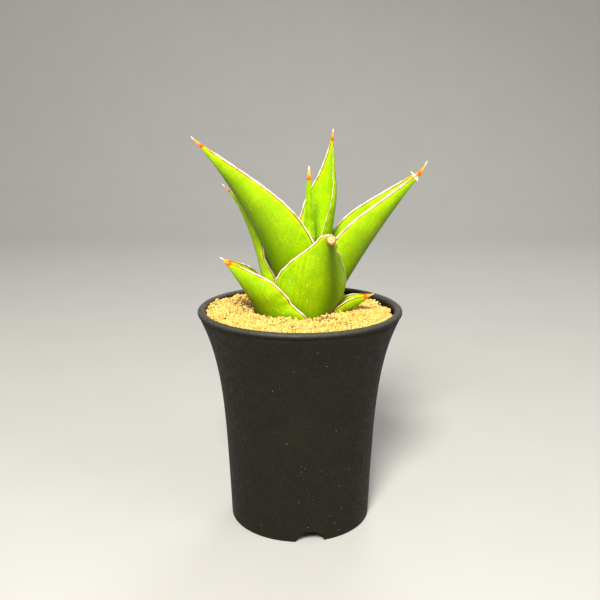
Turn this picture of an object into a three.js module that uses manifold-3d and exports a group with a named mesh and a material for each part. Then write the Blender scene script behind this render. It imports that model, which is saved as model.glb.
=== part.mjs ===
// A potted snake plant: eight channelled leaves on a short rhizome, in a flared plastic pot.
// Millimetres, +Z up. The object stands on Z = 0 and is centred on the middle of its footprint.
import * as THREE from "three";
import { mergeVertices } from "three/addons/utils/BufferGeometryUtils.js";
import Module from "manifold-3d";

const wasm = await Module();
wasm.setup();

// ---- Pot ----
const FOOT_RADIUS = 36.85;
const WALL_TAPER = 0.042; // radius gained per millimetre of height, before the flare
const FLARE_HEIGHT = 108; // height at which FLARE_GAIN is reached
const FLARE_GAIN = 9.3;
const FLARE_POWER = 4.6;
const WALL = 1.8;
const LIP = { radius: 50.45, height: 111.9, halfWidth: 2.05, halfHeight: 1.75 };
const RECESS = { height: 6.3, radius: 33.6 }; // hollow inside the foot ring
const FLOOR_THICKNESS = 2;
const NOTCH = { radius: 7.6, sink: 1.8, count: 3, firstAngle: -82 }; // drain notches in the foot ring
const DRAIN = { centreRadius: 6.5, radius: 3.6, ringRadius: 20, count: 6 };
const POT_SEGMENTS = 48;

// ---- Fillings ----
const GAP = 0.3; // clearance between touching pieces
const LEAF_HOLLOW = 0.7; // growth of a leaf for the hollow it stands in
const MIX_TOP = 103.5;
const DRESSING = { height: 110.6, slopeX: -0.02, ripple: 0.35, rippleX: 9, rippleY: 11 };

// ---- Plant ----
const CROWN = new THREE.Vector3(5, 5, 0); // the leaves gather round this vertical line
const SECTION_HEIGHT = 108; // height of every keel where its leaf starts to show
const HEEL_HEIGHT = 98.4; // the leaves end here, on the rhizome
const HEEL_SHRINK = 0.3; // how far the leaf bases draw in towards the crown line
const WRAP = 78; // half angle of the round outer face of a leaf, degrees
const SPINE = { length: 7, radius: 0.9, turnLength: 9 };
const RHIZOME = { from: -15, to: 24, height: 90.9, halfWidth: 9, halfHeight: 7.2, knuckles: 5 };
const ROOT_RADIUS = 1.3;

const colours = {
  pot: { color: 0x17150f, roughness: 0.72, metalness: 0 },
  mix: { color: 0x4a3524, roughness: 0.95, metalness: 0 },
  dressing: { color: 0xe2b964, roughness: 0.95, metalness: 0 },
  rhizome: { color: 0xc98a4a, roughness: 0.7, metalness: 0 },
  root: { color: 0xd8b078, roughness: 0.8, metalness: 0 },
  leaf: { color: 0x8fbf12, roughness: 0.5, metalness: 0 },
};

// Each leaf follows its keel, the line along the middle of its round outer face.
//   foot: where the keel stands at SECTION_HEIGHT; heading: compass direction it leans to (+ swing by the tip)
//   rise: elevation at the foot and at the tip, and how late the change comes
//   width, depth: [largest half width or channel depth, share at the foot, where it peaks, roundness of the peak]
//   taper: above 1 draws the tip out; roll: turn about the keel at foot and tip; flesh: thickness at the keel
const leaves = [
  {
    name: "leaf_tall_left", foot: [-6, 0.5], heading: 201, swing: -0.5, rise: [75.5, 49, 1], length: 104.5,
    width: [13.1, 0.4, 0.41, 0.45], depth: [19.5, 0.75, 0.29, 0.7], taper: 1.55, roll: [6, -1], flesh: 5,
  },
  {
    name: "leaf_tall_right", foot: [15.6, 9.5], heading: -1.5, swing: -1, rise: [63, 52, 1], length: 92.3,
    width: [10.9, 0.3, 0.45, 0.33], depth: [17.4, 0.45, 0.36, 0.48], taper: 1.55, roll: [-1, 10], flesh: 4.6,
    spineTurn: 30,
  },
  {
    name: "leaf_back", foot: [8.8, 10.5], heading: 38, swing: -4, rise: [76.5, 93.5, 1.3], length: 95.5,
    width: [10.4, 0.05, 0.62, 0.12], depth: [11, 0.35, 0.45, 0.26], taper: 1.8, roll: [0.5, -3.5], flesh: 4,
  },
  {
    name: "leaf_front", foot: [8, -8], heading: -71, swing: 2.5, rise: [69, 67.5, 1], length: 50.3,
    width: [17.1, 0.64, 0.27, 0.37], depth: [10.7, 0.79, 0.39, 0.48], taper: 1.38, roll: [0.5, 1], flesh: 4,
    blunt: 2.4,
  },
  {
    name: "leaf_low_left", foot: [-19, -6.5], heading: 201, swing: -9, rise: [60, 56.5, 1], length: 39.1,
    width: [13.6, 1.12, 0.24, 0.25], depth: [11.5, 1.05, 0.37, 0.57], taper: 1.23, roll: [14, -12], flesh: 4,
  },
  {
    name: "leaf_narrow_left", foot: [-18, 16.8], heading: 181, swing: 3.5, rise: [82.5, 54, 1.75], length: 71.3,
    width: [8, 0.9, 0.15, 0.3], depth: [6.3, 0.9, 0.13, 0.16], taper: 1.35, roll: [3, 6], flesh: 3.2,
  },
  {
    name: "leaf_low_right", foot: [22, 4.3], heading: -3, swing: 0, rise: [29.5, 42, 1], length: 19.9,
    width: [5.3, 0.8, 0.29, 0.32], depth: [5.4, 0.86, 0.31, 0.34], taper: 1.15, roll: [0, 0], flesh: 2.6,
  },
  {
    name: "leaf_centre", foot: [5.2, 6], heading: 61.5, swing: -0.5, rise: [88, 94, 0.8], length: 76.9,
    width: [2.5, 0.55, 0.45, 0.25], depth: [3.1, 0.5, 0.45, 0.23], taper: 1.45, roll: [6, 24], flesh: 2.6,
  },
];

const LEAF_RINGS = 18;
const HEEL_RINGS = 3;
const FACE_POINTS = 9; // points across the outer face, both margins included

const radians = THREE.MathUtils.degToRad;
const mix = THREE.MathUtils.lerp;

function meshOf(name, geometry, look) {
  const mesh = new THREE.Mesh(geometry, new THREE.MeshStandardMaterial(look));
  mesh.name = name;
  return mesh;
}

function toSolid(geometry) {
  const bare = geometry.clone();
  bare.deleteAttribute("normal");
  bare.deleteAttribute("uv");
  const merged = mergeVertices(bare, 1e-4);
  return new wasm.Manifold(
    new wasm.Mesh({
      numProp: 3,
      vertProperties: new Float32Array(merged.attributes.position.array),
      triVerts: new Uint32Array(merged.index.array),
    }),
  );
}

function toGeometry(solid) {
  const { vertProperties, triVerts } = solid.getMesh();
  const geometry = new THREE.BufferGeometry();
  geometry.setAttribute("position", new THREE.BufferAttribute(vertProperties, 3));
  geometry.setIndex(new THREE.BufferAttribute(triVerts, 1));
  geometry.computeVertexNormals();
  return geometry;
}

// A profile of [radius, height] pairs turned about the Z axis.
function turned(profile, segments) {
  const geometry = new THREE.LatheGeometry(profile.map(([r, z]) => new THREE.Vector2(r, z)), segments);
  geometry.rotateX(Math.PI / 2);
  return geometry;
}

// ---- Pot ----
const wallRadius = (z) => FOOT_RADIUS + WALL_TAPER * z + FLARE_GAIN * (z / FLARE_HEIGHT) ** FLARE_POWER;
const innerRadius = (z) => wallRadius(z) - WALL;

function makePot() {
  const floorTop = RECESS.height + FLOOR_THICKNESS;
  const profile = [[0, RECESS.height], [RECESS.radius, RECESS.height], [RECESS.radius, 0], [FOOT_RADIUS - 0.4, 0]];
  for (const z of [0.5, 32, 55, 72, 84, 93, 101, 109.2]) profile.push([wallRadius(z), z]);
  for (let step = 0; step <= 6; step += 1) {
    const angle = radians(mix(-65, 180, step / 6));
    profile.push([
      LIP.radius + LIP.halfWidth * Math.cos(angle),
      LIP.height + LIP.halfHeight * Math.sin(angle),
    ]);
  }
  for (const z of [108, MIX_TOP, 90, 70, 40, floorTop + 2]) profile.push([innerRadius(z), z]);
  profile.push([innerRadius(floorTop) - 2, floorTop], [0, floorTop]);
  let solid = toSolid(turned(profile, POT_SEGMENTS));

  for (let i = 0; i < NOTCH.count; i += 1) {
    const notch = new THREE.CylinderGeometry(NOTCH.radius, NOTCH.radius, 12, 24);
    notch.translate(0, FOOT_RADIUS - 2, -NOTCH.sink);
    notch.rotateZ(radians(NOTCH.firstAngle - 90 + (i * 360) / NOTCH.count));
    solid = solid.subtract(toSolid(notch));
  }
  for (let i = 0; i <= DRAIN.count; i += 1) {
    const radius = i === DRAIN.count ? DRAIN.centreRadius : DRAIN.radius;
    const hole = new THREE.CylinderGeometry(radius, radius, 12, 16);
    hole.rotateX(Math.PI / 2);
    hole.translate(i === DRAIN.count ? 0 : DRAIN.ringRadius, 0, floorTop);
    hole.rotateZ(radians((i * 360) / DRAIN.count));
    solid = solid.subtract(toSolid(hole));
  }
  return meshOf("pot", toGeometry(solid), colours.pot);
}

// ---- Leaves ----
// Share of the largest width or depth at s, from 0 at the foot to 1 at the tip.
function swell(s, [, foot, peak, roundness], taper) {
  if (s < peak) return mix(foot, 1, Math.sin(((s / peak) * Math.PI) / 2));
  const u = (s - peak) / (1 - peak);
  const fall = (Math.hypot(u, roundness) - roundness) / (Math.hypot(1, roundness) - roundness);
  return Math.max(0, 1 - fall) ** taper;
}

function keelFrame(leaf, s) {
  const turnFrom = 1 - SPINE.turnLength / leaf.length;
  const turn = (leaf.spineTurn ?? 0) * THREE.MathUtils.smoothstep(s, turnFrom, 1);
  const [first, last, late] = leaf.rise;
  const rise = radians(mix(first, last, s ** late) + turn);
  const heading = radians(leaf.heading + leaf.swing * s);
  const roll = radians(mix(leaf.roll[0], leaf.roll[1], s));
  const out = new THREE.Vector3(Math.cos(heading), Math.sin(heading), 0);
  const along = out.clone().multiplyScalar(Math.cos(rise)).setZ(Math.sin(rise));
  const across = new THREE.Vector3(-out.y, out.x, 0).applyAxisAngle(along, roll);
  const inward = new THREE.Vector3().crossVectors(across, along).negate();
  return { along, across, inward };
}

// One closed section in the plane across the keel, x across and y inward: the outer face from margin to
// margin, then the channel face back.
function sectionOutline(leaf, s) {
  const fromTip = (1 - s) * leaf.length;
  const spine = SPINE.radius * Math.min(1, fromTip / SPINE.length);
  const nearEnd = THREE.MathUtils.clamp(1 - fromTip / (leaf.blunt ?? 1), 0, 1);
  const end = leaf.blunt ? leaf.blunt * Math.sqrt(1 - nearEnd ** 2) : spine;
  const halfWidth = leaf.width[0] * swell(s, leaf.width, leaf.taper) + end;
  const depth = leaf.depth[0] * swell(s, leaf.depth, leaf.taper) + end;
  const flesh = leaf.flesh * THREE.MathUtils.clamp(1.1 - s, 0.25, 1);
  const wrap = radians(WRAP);
  const middle = new THREE.Vector2(0, depth);
  const outer = [];
  const inner = [];
  for (let j = 0; j < FACE_POINTS; j += 1) {
    const share = mix(-1, 1, j / (FACE_POINTS - 1));
    const side = Math.sin(share * wrap) / Math.sin(wrap);
    const up = (1 - Math.cos(share * wrap)) / (1 - Math.cos(wrap));
    const point = new THREE.Vector2(halfWidth * side, depth * up);
    outer.push(point);
    if (j === 0 || j === FACE_POINTS - 1) continue;
    const room = point.distanceTo(middle);
    const thickness = Math.min(flesh * (1 - Math.abs(share) ** 2.2), 0.7 * room);
    inner.push(point.clone().lerp(middle, thickness / room));
  }
  return [...outer, ...inner.reverse()];
}

// Moves every corner of a closed outline out along its mitre.
function grownOutline(outline, grow) {
  const count = outline.length;
  const normal = (a, b) => new THREE.Vector2(b.y - a.y, a.x - b.x).normalize();
  return outline.map((point, j) => {
    const before = normal(outline[(j + count - 1) % count], point);
    const after = normal(point, outline[(j + 1) % count]);
    const mitre = before.clone().add(after).normalize();
    return point.clone().addScaledVector(mitre, grow / Math.max(0.5, mitre.dot(after)));
  });
}

function leafSection(leaf, s, keel, grow) {
  const { across, inward } = keelFrame(leaf, s);
  const outline = grow > 0 ? grownOutline(sectionOutline(leaf, s), grow) : sectionOutline(leaf, s);
  return outline.map(({ x, y }) => keel.clone().addScaledVector(across, x).addScaledVector(inward, y));
}

function leafGeometry(leaf, grow = 0) {
  const sections = [];
  const keel = new THREE.Vector3(...leaf.foot, SECTION_HEIGHT);
  const fine = 8; // steps of the keel between two sections
  for (let i = 0; i < LEAF_RINGS; i += 1) {
    sections.push(leafSection(leaf, i / LEAF_RINGS, keel, grow));
    for (let k = 0; k < fine; k += 1) {
      const s = (i + (k + 0.5) / fine) / LEAF_RINGS;
      keel.addScaledVector(keelFrame(leaf, s).along, leaf.length / LEAF_RINGS / fine);
    }
  }
  const tip = keel.addScaledVector(keelFrame(leaf, 1).along, grow);
  const grown = sections[0];
  const bare = leafSection(leaf, 0, new THREE.Vector3(...leaf.foot, SECTION_HEIGHT), 0);
  for (let i = 1; i <= HEEL_RINGS; i += 1) {
    const down = i / HEEL_RINGS;
    const shrink = 1 - HEEL_SHRINK * down;
    sections.unshift(bare.map((p, j) => new THREE.Vector3(
      CROWN.x + (p.x - CROWN.x) * shrink + grown[j].x - p.x,
      CROWN.y + (p.y - CROWN.y) * shrink + grown[j].y - p.y,
      mix(p.z, HEEL_HEIGHT, down) - grow * down,
    )));
  }
  return closedLoft(sections, tip);
}

// Sections from heel to tip, closed by a ladder of quads across the heel and a fan at the tip.
function closedLoft(sections, tip) {
  const count = sections[0].length;
  const points = sections.flat().concat(tip);
  const index = [];
  for (let i = 0; i < sections.length - 1; i += 1) {
    for (let j = 0; j < count; j += 1) {
      const a = i * count + j;
      const b = i * count + ((j + 1) % count);
      index.push(a, b, b + count, a, b + count, a + count);
    }
  }
  const top = (sections.length - 1) * count;
  for (let j = 0; j < count; j += 1) index.push(top + j, top + ((j + 1) % count), points.length - 1);
  for (let j = 0; j < FACE_POINTS - 1; j += 1) {
    const right = (count - j) % count;
    const next = count - j - 1;
    if (j > 0) index.push(j, right, j + 1);
    if (j < FACE_POINTS - 2) index.push(j + 1, right, next);
  }
  const geometry = new THREE.BufferGeometry();
  const flat = points.flatMap((p) => [p.x, p.y, p.z]);
  geometry.setAttribute("position", new THREE.Float32BufferAttribute(flat, 3));
  geometry.setIndex(index);
  geometry.computeVertexNormals();
  return geometry;
}

// ---- Rhizome and roots ----
// A level, knuckled rod with blunt ends; grow widens it for the hollow it lies in.
function rhizomeGeometry(grow = 0) {
  const steps = 12;
  const reach = (RHIZOME.to - RHIZOME.from) / 2 + grow;
  const profile = [];
  for (let i = 0; i <= steps; i += 1) {
    const t = mix(-1, 1, i / steps);
    const knuckle = 1 - 0.05 * Math.sin(t * RHIZOME.knuckles * Math.PI) ** 2;
    const bluntness = Math.sqrt(Math.max(0, 1 - Math.abs(t) ** 5));
    const radius = i === 0 || i === steps ? 0 : bluntness * knuckle * RHIZOME.halfHeight + grow;
    profile.push([radius, t * reach]);
  }
  const geometry = turned(profile, 14);
  geometry.scale(1, RHIZOME.halfWidth / RHIZOME.halfHeight, 1);
  geometry.rotateY(Math.PI / 2);
  geometry.translate((RHIZOME.from + RHIZOME.to) / 2, CROWN.y, RHIZOME.height);
  return geometry;
}

// Thick roots leave the underside of the rhizome, spread out and turn down.
const roots = [
  { from: [-9, 1], to: [-27, -10], low: 52 },
  { from: [-2, 10], to: [-10, 27], low: 40 },
  { from: [5, 0], to: [6, -24], low: 34 },
  { from: [12, 10], to: [24, 22], low: 48 },
  { from: [18, 1], to: [29, -12], low: 58 },
];

function rootGeometry({ from, to, low }, grow = 0) {
  const offset = (from[1] - CROWN.y) / RHIZOME.halfWidth;
  const underside = RHIZOME.height - RHIZOME.halfHeight * Math.sqrt(1 - offset ** 2);
  const start = new THREE.Vector3(...from, underside - 1 + 4 * grow); // its hollow opens into the rhizome's
  const neck = new THREE.Vector3(...from, underside - 4);
  const knee = new THREE.Vector3(mix(from[0], to[0], 0.75), mix(from[1], to[1], 0.75), mix(low, neck.z, 0.6));
  const end = new THREE.Vector3(...to, low - grow);
  const path = new THREE.CatmullRomCurve3([start, neck, knee, end]);
  const radius = ROOT_RADIUS + 2 * grow;
  const section = new THREE.Shape().absarc(0, 0, radius, 0, 2 * Math.PI);
  return new THREE.ExtrudeGeometry(section, { steps: 8, curveSegments: 3, extrudePath: path });
}

// ---- Fillings ----
const dressingHeight = (x, y) =>
  DRESSING.height +
  DRESSING.slopeX * x +
  DRESSING.ripple * Math.sin(x / DRESSING.rippleX) * Math.cos(y / DRESSING.rippleY);

function mixGeometry() {
  const bottom = RECESS.height + FLOOR_THICKNESS + GAP;
  const profile = [[0, bottom], [innerRadius(bottom) - 2 - GAP, bottom]];
  for (const z of [bottom + 2.2, 40, 70, 90, MIX_TOP]) profile.push([innerRadius(z) - GAP, z]);
  profile.push([0, MIX_TOP]);
  return turned(profile, POT_SEGMENTS);
}

// The granule layer: level below, gently uneven above.
function dressingGeometry() {
  const bottom = MIX_TOP + GAP;
  const rim = LIP.radius - LIP.halfWidth - GAP;
  const profile = [[0, bottom], [innerRadius(bottom) - GAP, bottom]];
  profile.push([innerRadius(106) - GAP, 106], [rim, DRESSING.height]);
  for (const share of [0.8, 0.6, 0.35]) profile.push([rim * share, DRESSING.height]);
  profile.push([0, DRESSING.height]);
  const geometry = turned(profile, POT_SEGMENTS);
  const position = geometry.attributes.position;
  for (let i = 0; i < position.count; i += 1) {
    if (position.getZ(i) > DRESSING.height - 0.1) {
      position.setZ(i, dressingHeight(position.getX(i), position.getY(i)));
    }
  }
  return geometry;
}

// What is left round the plant; crumbs shut in between the leaf bases are dropped.
function hollowed(geometry, cutters) {
  const cut = cutters.reduce((solid, cutter) => solid.subtract(cutter), toSolid(geometry));
  return toGeometry(cut.decompose().reduce((a, b) => (a.volume() > b.volume() ? a : b)));
}

// ---- Assembly ----
const pottedPlant = new THREE.Group();
const leafHollows = leaves.map((leaf) => toSolid(leafGeometry(leaf, LEAF_HOLLOW)));
const rootHollows = roots.map((root) => toSolid(rootGeometry(root, GAP)));
const mixCutters = [...leafHollows, toSolid(rhizomeGeometry(GAP)), ...rootHollows];

pottedPlant.add(makePot());
pottedPlant.add(meshOf("potting_mix", hollowed(mixGeometry(), mixCutters), colours.mix));
pottedPlant.add(meshOf("top_dressing", hollowed(dressingGeometry(), leafHollows), colours.dressing));
pottedPlant.add(meshOf("rhizome", rhizomeGeometry(), colours.rhizome));
roots.forEach((root, i) => pottedPlant.add(meshOf(`root_${i + 1}`, rootGeometry(root), colours.root)));
leaves.forEach((leaf) => pottedPlant.add(meshOf(leaf.name, leafGeometry(leaf), colours.leaf)));

// The right leaf reaches further than the left one, so the pot stands a little left of the middle.
const box = new THREE.Box3().setFromObject(pottedPlant);
pottedPlant.position.x = -(box.min.x + box.max.x) / 2;
pottedPlant.position.y = -(box.min.y + box.max.y) / 2;

export default pottedPlant;
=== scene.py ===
"""Looks of a potted snake plant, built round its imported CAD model. Metres, +Z up."""

import math

import bmesh
import bpy
import numpy as np
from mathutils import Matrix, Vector
from mathutils.bvhtree import BVHTree


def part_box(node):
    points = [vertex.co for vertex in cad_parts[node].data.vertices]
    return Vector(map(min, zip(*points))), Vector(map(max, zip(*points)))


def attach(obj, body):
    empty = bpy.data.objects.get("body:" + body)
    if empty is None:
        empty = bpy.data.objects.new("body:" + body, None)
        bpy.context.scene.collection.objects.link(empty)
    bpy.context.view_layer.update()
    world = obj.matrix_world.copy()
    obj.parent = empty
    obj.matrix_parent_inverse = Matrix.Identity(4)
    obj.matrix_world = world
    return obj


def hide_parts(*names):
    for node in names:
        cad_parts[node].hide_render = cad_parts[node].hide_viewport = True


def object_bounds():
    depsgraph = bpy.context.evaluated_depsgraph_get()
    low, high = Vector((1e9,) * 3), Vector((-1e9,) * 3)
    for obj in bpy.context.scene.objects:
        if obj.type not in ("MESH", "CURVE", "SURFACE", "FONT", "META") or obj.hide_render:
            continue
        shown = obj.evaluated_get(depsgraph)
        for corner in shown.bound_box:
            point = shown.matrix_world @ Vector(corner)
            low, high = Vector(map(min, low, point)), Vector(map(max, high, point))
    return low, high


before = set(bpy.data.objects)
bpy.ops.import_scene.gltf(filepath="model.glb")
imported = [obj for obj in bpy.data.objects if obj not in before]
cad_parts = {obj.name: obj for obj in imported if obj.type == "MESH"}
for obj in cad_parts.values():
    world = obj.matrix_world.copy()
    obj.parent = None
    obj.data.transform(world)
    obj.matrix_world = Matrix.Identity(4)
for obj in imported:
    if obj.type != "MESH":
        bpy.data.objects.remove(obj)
cad_low, cad_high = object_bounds()

MM = 0.001
WELD = 4e-6  # corners of a CAD mesh closer than this are one corner
pot_low, pot_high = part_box("pot")
POT_X, POT_Y = (pot_low.x + pot_high.x) / 2, (pot_low.y + pot_high.y) / 2
RIM = pot_high.x - pot_low.x
RIM_TOP = pot_high.z

# ---------------------------------------------------------------- camera
CAMERA_BACK, CAMERA_UP = 3.848, 2.046  # from the pot's axis and from its foot, in rim diameters
CAMERA_DOWN = math.radians(13.593)  # how far it looks down
SENSOR_WIDTH, FOCAL_LENGTH = 36, 48.36  # in millimetres
camera_data = bpy.data.cameras.new("camera")
camera_data.sensor_width = SENSOR_WIDTH
camera_data.lens = FOCAL_LENGTH
camera_data.clip_start, camera_data.clip_end = 0.01, 50
camera = bpy.data.objects.new("camera", camera_data)
camera.location = (POT_X, POT_Y - CAMERA_BACK * RIM, CAMERA_UP * RIM)
camera.rotation_euler = (math.pi / 2 - CAMERA_DOWN, 0, 0)
bpy.context.scene.collection.objects.link(camera)
bpy.context.scene.camera = camera
bpy.context.scene.view_settings.view_transform = "Standard"


# ---------------------------------------------------------------- pieces
def make_mesh(name, co, faces, values=None):
    """A mesh from its corners and its faces.

    faces is a list of arrays, each of faces with the same number of sides; values are numbers
    kept at the corners, by name.
    """
    co = np.asarray(co, np.float32)
    groups = [np.asarray(f, np.int32) for f in faces if len(f)]
    sides = np.concatenate([np.full(len(f), f.shape[1], np.int32) for f in groups])
    loops = np.concatenate([f.ravel() for f in groups])
    mesh = bpy.data.meshes.new(name)
    mesh.vertices.add(len(co))
    mesh.vertices.foreach_set("co", co.ravel())
    mesh.loops.add(len(loops))
    mesh.loops.foreach_set("vertex_index", loops)
    mesh.polygons.add(len(sides))
    starts = np.concatenate([[0], np.cumsum(sides)[:-1]]).astype(np.int32)
    mesh.polygons.foreach_set("loop_start", starts)
    mesh.update(calc_edges=True)
    for key, data in (values or {}).items():
        attribute = mesh.attributes.new(key, "FLOAT", "POINT")
        attribute.data.foreach_set("value", np.asarray(data, np.float32).ravel())
    return mesh


def add_piece(name, mesh, material, replaces=(), smooth=True):
    """Puts a mesh in the scene as a piece of the object."""
    mesh.polygons.foreach_set("use_smooth", np.full(len(mesh.polygons), smooth))
    mesh.materials.append(material)
    mesh.update()
    obj = bpy.data.objects.new(name, mesh)
    bpy.context.scene.collection.objects.link(obj)
    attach(obj, "root")
    if replaces:
        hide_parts(*replaces)
    return obj


def facing_out(co, faces):
    """The same faces, turned if they enclose a negative volume."""
    volume = 0.0
    for group in faces:
        group = np.asarray(group)
        for k in range(1, group.shape[1] - 1):
            a, b, c = co[group[:, 0]], co[group[:, k]], co[group[:, k + 1]]
            volume += np.einsum("ij,ij->i", a, np.cross(b, c)).sum()
    return faces if volume > 0 else [np.asarray(g)[:, ::-1] for g in faces]


def grid_faces(rows, columns, closed=True):
    """Quads of a grid of rows of corners; closed joins each row's end to its start."""
    i = np.arange(rows - 1)[:, None] * columns
    j = np.arange(columns if closed else columns - 1)[None, :]
    k = (j + 1) % columns
    return np.stack([i + j, i + k, i + columns + k, i + columns + j], -1).reshape(-1, 4)


def refine(points, steps):
    """A smooth curve through points along the first axis, with steps to each span."""
    p = np.asarray(points, float)
    span = np.linalg.norm(np.diff(p, axis=0), axis=-1)
    span = np.maximum(span.reshape(len(p) - 1, -1).mean(1), 1e-7)
    wide = span.reshape(-1, *[1] * (p.ndim - 1))
    slope = np.diff(p, axis=0) / wide
    inner = (slope[:-1] * wide[1:] + slope[1:] * wide[:-1]) / (wide[1:] + wide[:-1])
    tangent = np.concatenate([slope[:1], inner, slope[-1:]])
    fine = []
    for s in np.arange(steps) / steps:
        h0, h1 = 2 * s**3 - 3 * s**2 + 1, s**3 - 2 * s**2 + s
        h2, h3 = 3 * s**2 - 2 * s**3, s**3 - s**2
        fine.append(h0 * p[:-1] + h1 * wide * tangent[:-1] + h2 * p[1:] + h3 * wide * tangent[1:])
    fine = np.stack(fine, 1).reshape(-1, *p.shape[1:])
    return np.concatenate([fine, p[-1:]])


def fan(ring, apex):
    """Triangles from each edge of a closed ring of corner numbers to the corner apex."""
    return np.stack([ring, np.roll(ring, -1), np.full(len(ring), apex)], -1)


def unit(v):
    """The same directions, 1 long."""
    return v / np.maximum(np.linalg.norm(v, axis=-1, keepdims=True), 1e-12)


def bell(x, width):
    """1 where x is 0, falling away smoothly within about width."""
    return np.exp(-((x / width) ** 2))


def wander(t, seed, lengths):
    """Smooth seeded waves over t, about 1 high; lengths are the wavelengths."""
    rng = np.random.default_rng(seed)
    total = np.zeros_like(t, dtype=float)
    for length in lengths:
        total += np.sin(t * 2 * math.pi / length + rng.uniform(0, 2 * math.pi)) * rng.uniform(0.6, 1)
    return total / math.sqrt(len(lengths))


# ---------------------------------------------------------------- materials
class Nodes:
    """A material whose nodes are made one call at a time."""

    def __init__(self, name):
        self.material = bpy.data.materials.new(name)
        self.material.use_nodes = True
        self.tree = self.material.node_tree
        self.shader = self.tree.nodes["Principled BSDF"]

    def new(self, kind, **settings):
        node = self.tree.nodes.new(kind)
        for key, value in settings.items():
            setattr(node, key, value)
        return node

    def put(self, socket, value):
        """Links a socket to another, or sets it to a number, a vector or a colour."""
        if isinstance(value, bpy.types.NodeSocket):
            self.tree.links.new(value, socket)
        elif isinstance(value, (tuple, list)) and len(value) == 3 and socket.type == "RGBA":
            socket.default_value = (*value, 1)
        else:
            socket.default_value = value

    def set(self, **inputs):
        """Sets the shader's inputs."""
        for key, value in inputs.items():
            self.put(self.shader.inputs[key.replace("_", " ")], value)

    def place(self, stretch=(1, 1, 1)):
        """Position on the object in millimetres, stretched."""
        at = self.new("ShaderNodeTexCoord").outputs["Object"]
        scale = self.new("ShaderNodeVectorMath", operation="MULTIPLY")
        self.put(scale.inputs[0], at)
        scale.inputs[1].default_value = [1000 * s for s in stretch]
        return scale.outputs[0]

    def kept(self, name):
        """A number that the mesh keeps at its corners."""
        return self.new("ShaderNodeAttribute", attribute_name=name).outputs["Fac"]

    def vector(self, x, y, z):
        node = self.new("ShaderNodeCombineXYZ")
        for socket, value in zip(node.inputs, (x, y, z)):
            self.put(socket, value)
        return node.outputs[0]

    def noise(self, at, size, detail=2.0, rough=0.5, bend=0.0):
        """Noise from 0 to 1 whose lumps are about size across."""
        node = self.new("ShaderNodeTexNoise")
        self.put(node.inputs["Vector"], at)
        node.inputs["Scale"].default_value = 1 / size
        node.inputs["Detail"].default_value = detail
        node.inputs["Roughness"].default_value = rough
        node.inputs["Distortion"].default_value = bend
        return node.outputs["Fac"]

    def cells(self, at, size):
        """Distance, in cells, from the middle of the nearest of many cells about size across."""
        node = self.new("ShaderNodeTexVoronoi")
        self.put(node.inputs["Vector"], at)
        node.inputs["Scale"].default_value = 1 / size
        return node.outputs["Distance"]

    def math(self, operation, a, b=0.0):
        node = self.new("ShaderNodeMath", operation=operation)
        self.put(node.inputs[0], a)
        self.put(node.inputs[1], b)
        return node.outputs[0]

    def times(self, a, b):
        return self.math("MULTIPLY", a, b)

    def range(self, value, low, high, to_low=0.0, to_high=1.0):
        """value from low..high to to_low..to_high, smoothly and clamped."""
        node = self.new("ShaderNodeMapRange", interpolation_type="SMOOTHSTEP")
        for socket, v in zip(node.inputs, (value, low, high, to_low, to_high)):
            self.put(socket, v)
        return node.outputs[0]

    def mix(self, share, a, b):
        """The colour a, with share of b over it."""
        node = self.new("ShaderNodeMix", data_type="RGBA")
        self.put(node.inputs["Factor"], share)
        self.put(node.inputs[6], a)
        self.put(node.inputs[7], b)
        return node.outputs[2]

    def bump(self, height, depth, under=None):
        """Bump whose height 1 stands for depth millimetres."""
        node = self.new("ShaderNodeBump")
        node.inputs["Distance"].default_value = depth * MM
        self.put(node.inputs["Height"], height)
        if under is not None:
            self.put(node.inputs["Normal"], under)
        return node.outputs[0]


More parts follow.
